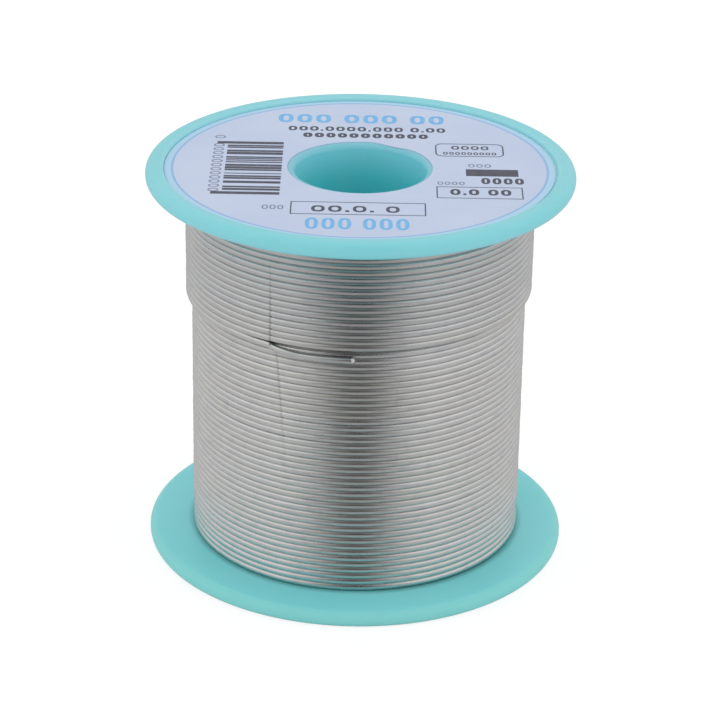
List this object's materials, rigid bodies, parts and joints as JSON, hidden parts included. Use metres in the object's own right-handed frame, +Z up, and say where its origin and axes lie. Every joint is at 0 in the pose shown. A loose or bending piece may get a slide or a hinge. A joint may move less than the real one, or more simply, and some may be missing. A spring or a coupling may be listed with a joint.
{
  "type": "solder wire spool",
  "caption": "Plastic reel with a central bore, wound in close turns with flux-cored solder wire that pays out from its free end.",
  "frame": {"origin": "centre of the face that the reel stands on, on the axis of its bore", "axes": "+Z up along the bore; +Y is the side that the top of the label's print points to; -Y is where the wire's free end lies"},
  "size_m": [0.067, 0.067, 0.064],
  "materials": {
    "reel_plastic": "satin",
    "solder": "drawn",
    "flux": "gloss",
    "label_paper": "coated"
  },
  "bodies": {
    "root": {"reel_barrel": "reel_plastic", "lower_flange": "reel_plastic", "upper_flange": "reel_plastic", "wire_lower_layers": "solder", "wire_full_layer": "solder", "wire_outer_layer": "solder", "flux_core": "flux", "top_label": "label_paper"}
  },
  "joints": []
}
